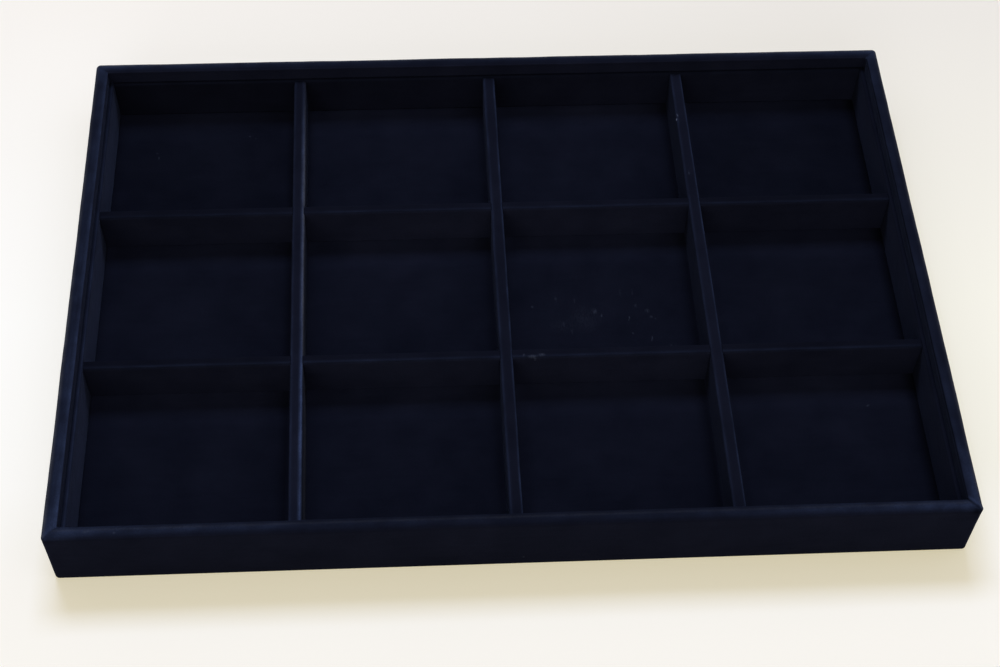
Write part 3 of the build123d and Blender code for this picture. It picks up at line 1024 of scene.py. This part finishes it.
def board(name, dark, light, chip_size):
    """Pressed fibre: short flecks over a mottled ground."""
    n = Nodes(name)
    place = n.place()
    mottled = n.noise(place, 9 * MM, 3.0)
    flecks = n.noise(n.place((1, 3, 1)), chip_size, 4.0, 0.7)
    both = n.plus(n.times(mottled, 0.4), n.times(flecks, 0.6))
    colour = n.mix(n.range(both, 0.35, 0.65), dark, light)
    rough = n.range(flecks, 0.3, 0.7, 0.75, 0.95)
    return n.surface({"Base Color": colour, "Roughness": rough, "Normal": n.bump(flecks, 0.35, 0.1 * MM)})


def wire_steel(name):
    """Drawn wire: fine lines along it and a dull shine."""
    n = Nodes(name)
    drawn = n.noise(n.place((1, 1, 12)), 0.3 * MM, 3.0, 0.6)
    colour = n.mix(n.range(drawn, 0.3, 0.7), (0.33, 0.32, 0.31, 1), (0.52, 0.51, 0.50, 1))
    return n.surface({"Base Color": colour, "Metallic": 1.0, "Roughness": n.range(drawn, 0.3, 0.7, 0.28, 0.5),
                      "Normal": n.bump(drawn, 0.2, 0.02 * MM)})


def paint(obj, material):
    """Puts one material on all of a mesh."""
    obj.data.materials.clear()
    obj.data.materials.append(material)


LEFT_TO_RIGHT = (-0.17, 0.19)  # metres, from the whiter left of the floor to the warmer right
IN_FRONT = (-0.08, -0.13)
BEHIND = (0.0, 0.30)  # towards the window lamp, where the floor is lit more and so glows less
FLOOR_PALE = ((0.615, 0.635, 0.755, 1), (0.625, 0.645, 0.765, 1))
FLOOR_TO_THE_TRAY = (0.62, 0.60, 0.56, 1)  # the colour by which it lights the tray
# From left to right
GLOW_ACROSS = ((0.505, 0.460, 0.305, 1), (0.445, 0.385, 0.165, 1))
GLOW_BEHIND = ((0.36, 0.27, 0.06, 1), (0.25, 0.17, 0.0, 1))
GLOW_IN_FRONT = (0.465, 0.405, 0.225, 1)


def pale_floor():
    """A plain pale floor, which the camera sees lighter than it lights the tray.

    It is warmer in front and on the right.
    """
    n = Nodes("pale_floor")
    path = n.add("LightPath")
    seen = n.math("MAXIMUM", path.outputs["Is Camera Ray"], path.outputs["Is Glossy Ray"])
    seen = n.math("MAXIMUM", seen, path.outputs["Is Transmission Ray"])
    apart = n.add("SeparateXYZ", {0: n.point()})
    rightness = n.range(apart.outputs["X"], *LEFT_TO_RIGHT)
    frontness = n.range(apart.outputs["Y"], *IN_FRONT)
    faint = n.range(n.noise(n.place(), 0.12), 0.3, 0.7)
    pale = n.mix(faint, *FLOOR_PALE)
    colour = n.mix(seen, FLOOR_TO_THE_TRAY, pale)
    glow = n.mix(rightness, *GLOW_ACROSS)
    glow = n.mix(frontness, glow, GLOW_IN_FRONT)
    dimmer = n.mix(rightness, *GLOW_BEHIND)
    glow = n.mix(n.range(apart.outputs["Y"], *BEHIND), glow, dimmer)
    return n.surface({
        "Base Color": colour,
        "Roughness": 0.9,
        "Specular IOR Level": 0.0,
        "Emission Color": glow,
        "Emission Strength": seen,
    })


# Making the tray

# Where the floor's pile is scuffed: x, y and half sizes in millimetres, turn, paleness
FLOOR_MARKS = (
    (39.0, -4.6, 1.3, 1.8, 12, 0.34),
    (41.9, -7.1, 0.5, 1.1, -8, 0.42),
    (53.2, -9.0, 0.45, 1.6, -10, 0.60),
    (61.2, -5.3, 1.3, 1.3, 0, 0.22),
    (62.6, -8.5, 0.9, 1.0, 30, 0.25),
    (61.9, -19.7, 0.5, 1.7, -6, 0.42),
    (54.2, -16.7, 0.5, 0.8, 20, 0.26),
    (13.0, -1.7, 0.7, 0.8, 0, 0.40),
    (34.5, -8.5, 8.0, 9.0, 20, 0.07),
    (25.0, -12.0, 6.0, 5.0, -10, 0.05),
    (23.1, 2.2, 0.7, 1.9, 4, 0.16),
    (30.9, 0.9, 0.6, 1.9, -3, 0.13),
    (25.6, -11.2, 0.6, 1.7, 0, 0.13),
    (28.8, -15.0, 0.6, 2.0, 5, 0.15),
    (56.6, -2.6, 0.9, 1.2, 0, 0.16),
    (50.6, 4.8, 0.5, 2.4, 0, 0.09),
    (55.7, 4.6, 0.5, 2.4, 3, 0.10),
    (64.4, -9.5, 0.7, 0.7, 0, 0.20),
    (69.6, -23.6, 0.7, 1.2, 0, 0.18),
    (71.6, -24.3, 0.8, 1.4, 0, 0.22),
    (-149.4, 88.4, 0.6, 0.6, 0, 0.55),
    (-148.6, 85.6, 0.35, 1.3, 4, 0.35),
    (-108.7, 97.4, 0.7, 0.5, 0, 0.45),
    (-105.9, 96.2, 0.5, 0.5, 0, 0.35),
    (146.5, -55.8, 0.9, 0.5, 40, 0.38),
)
FLOOR_SCUFFS = [((x, y, 5), (wide, long, 2), turn, pale) for x, y, wide, long, turn, pale in FLOOR_MARKS]
# On the other pieces: middle, half sizes, turn, paleness
DIVIDER_SCUFFS = (
    ((81.2, 85.4, 23.7), (0.55, 0.7, 1.0), 0, 3.4),
    ((81.9, 87.6, 23.7), (0.4, 1.5, 1.0), 12, 0.8),
    ((83.4, 54.3, 24), (0.5, 1.6, 0.8), 0, 0.25),
    ((6.9, -39.4, 24), (0.6, 1.0, 1), 0, 0.75),
    ((11.4, -41.3, 23), (0.8, 1.2, 1.8), 10, 1.1),
    ((10.4, -39.9, 24), (2.4, 0.9, 1), 0, 0.60),
    ((14.0, -39.3, 24), (1.8, 1.0, 1), 0, 0.45),
    ((80.9, -40.6, 24), (0.8, 0.5, 1), -20, 0.6),
)
LINING_SCUFFS = (
    ((167.8, 73.3, 7.1), (1.5, 0.6, 0.6), 0, 0.6),
)
RIM_SCUFFS = (
    ((2.9, -120.0, 5.7), (0.6, 1.0, 0.6), 0, 0.6),
    ((-158.3, -116.9, 30), (2.2, 0.8, 1), 10, 0.35),
    ((-148.3, -117.7, 30), (0.6, 0.6, 1), 0, 0.5),
)


def make_tray():
    outer_cloth = make_outer_velvet()
    lining = make_linings()
    dividers = make_dividers()
    floor = make_floor()
    underside = make_underside()
    stands_for = {outer_cloth: "outer_velvet", floor: "floor_velvet", underside: "bottom_cover"}
    for piece in lining + dividers:
        stands_for[piece] = piece.name.replace("_cloth", "_velvet")
    paint(outer_cloth, velvet("outer_velvet_pile", scuffs=RIM_SCUFFS))
    strips = velvet("lining_velvet_pile", sheen=0.04, scuffs=LINING_SCUFFS)
    left_strip = velvet("left_lining_velvet_pile", sheen=0.10)
    boards = velvet("divider_velvet_pile", sheen=0.02, scuffs=DIVIDER_SCUFFS)
    for piece in lining:
        paint(piece, left_strip if piece.name.startswith("left") else strips)
    for piece in dividers:
        paint(piece, boards)
    paint(floor, velvet("floor_velvet_pile", scuffs=FLOOR_SCUFFS))
    paint(underside, felt("underside_felt"))
    for piece, node in stands_for.items():
        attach(piece, "root")
        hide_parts(node)


def finish_hidden_boards():
    """Materials for what the cloth covers."""
    fibreboard = board("fibreboard", (0.23, 0.14, 0.075, 1), (0.40, 0.27, 0.16, 1), 0.6 * MM)
    greyboard = board("greyboard", (0.19, 0.18, 0.165, 1), (0.33, 0.32, 0.30, 1), 0.8 * MM)
    steel = wire_steel("brad_wire")
    covered = velvet("velvet_back")
    for name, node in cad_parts.items():
        if name.endswith("_card"):
            paint(node, greyboard)
        elif name.endswith("_brads"):
            paint(node, steel)
        elif name.endswith(("_rail", "_core", "_board")):
            paint(node, fibreboard)
        else:
            paint(node, covered)


# Floor, light and camera

CAMERA_PLACE = Vector((-32.394, -436.988, 599.523)) * MM
CAMERA_AIM = Vector((-0.923, -11.322, 0.0)) * MM
CAMERA_ROLL = radians(1.9152)
CAMERA_LENS = 63.155  # millimetres
SENSOR_WIDTH = 36


def make_camera():
    data = bpy.data.cameras.new("camera")
    data.lens, data.sensor_width = CAMERA_LENS, SENSOR_WIDTH
    data.clip_start, data.clip_end = 0.01, 50
    camera = add_object("camera", data)
    forward = (CAMERA_AIM - CAMERA_PLACE).normalized()
    level = forward.cross(Vector((0, 0, 1))).normalized()
    upright = level.cross(forward)
    right = level * cos(CAMERA_ROLL) + upright * sin(CAMERA_ROLL)
    up = right.cross(forward)
    turn = Matrix((right, up, -forward)).transposed()
    camera.matrix_world = Matrix.Translation(CAMERA_PLACE) @ turn.to_4x4()
    bpy.context.scene.camera = camera


def softbox(name, azimuth, elevation, distance, width, height, power, colour):
    """A lamp aimed at the tray. Azimuth is from the rear towards the right, in degrees."""
    data = bpy.data.lights.new(name, "AREA")
    data.shape, data.size, data.size_y = "RECTANGLE", width, height
    data.energy, data.color = power, colour
    lamp = add_object(name, data)
    a, e = radians(azimuth), radians(elevation)
    arm = Vector((sin(a) * cos(e), cos(a) * cos(e), sin(e)))
    lamp.location = arm * distance
    lamp.rotation_mode = "QUATERNION"
    lamp.rotation_quaternion = arm.to_track_quat("Z", "Y")


def make_world():
    """The room's own light, and the paler wall that the camera sees behind the floor."""
    n = Nodes("room", bpy.data.worlds, "ShaderNodeOutputWorld")
    to_camera = n.add("LightPath").outputs["Is Camera Ray"]
    seen = n.add("Background", {"Color": (0.95, 0.935, 0.90, 1), "Strength": 1.0})
    lit = n.add("Background", {"Color": (1.0, 0.945, 0.845, 1), "Strength": 0.32})
    mix = n.add("MixShader", {0: to_camera, 1: lit.outputs[0], 2: seen.outputs[0]})
    n.put(n.out.inputs["Surface"], mix.outputs[0])
    bpy.context.scene.world = n.owner


FLOOR_REACH = 5.0  # metres to each side
# Name, azimuth, elevation, distance, width and height in metres, power in watts, colour
LAMPS = (
    ("window", -9, 61.5, 2.0, 1.0, 0.55, 24, (0.72, 0.82, 1.0)),
    ("room_right", 100, 55, 2.2, 1.8, 1.4, 4, (0.75, 0.86, 1.0)),
    ("room_front", 190, 25, 2.2, 1.6, 1.2, 11, (1.0, 0.955, 0.89)),
)


def make_studio():
    """A pale floor, a wide window-like lamp high behind, and two weaker ones on the right and in front."""
    corners = [(FLOOR_REACH * x, FLOOR_REACH * y, 0) for x, y in CORNERS]
    plane = new_piece("studio_floor", corners, [(2, 3, 0, 1)])
    paint(plane, pale_floor())
    for lamp in LAMPS:
        softbox(*lamp)
    make_world()


make_tray()
finish_hidden_boards()
make_studio()
make_camera()

bpy.context.scene.view_settings.view_transform = "Standard"
bpy.context.view_layer.update()
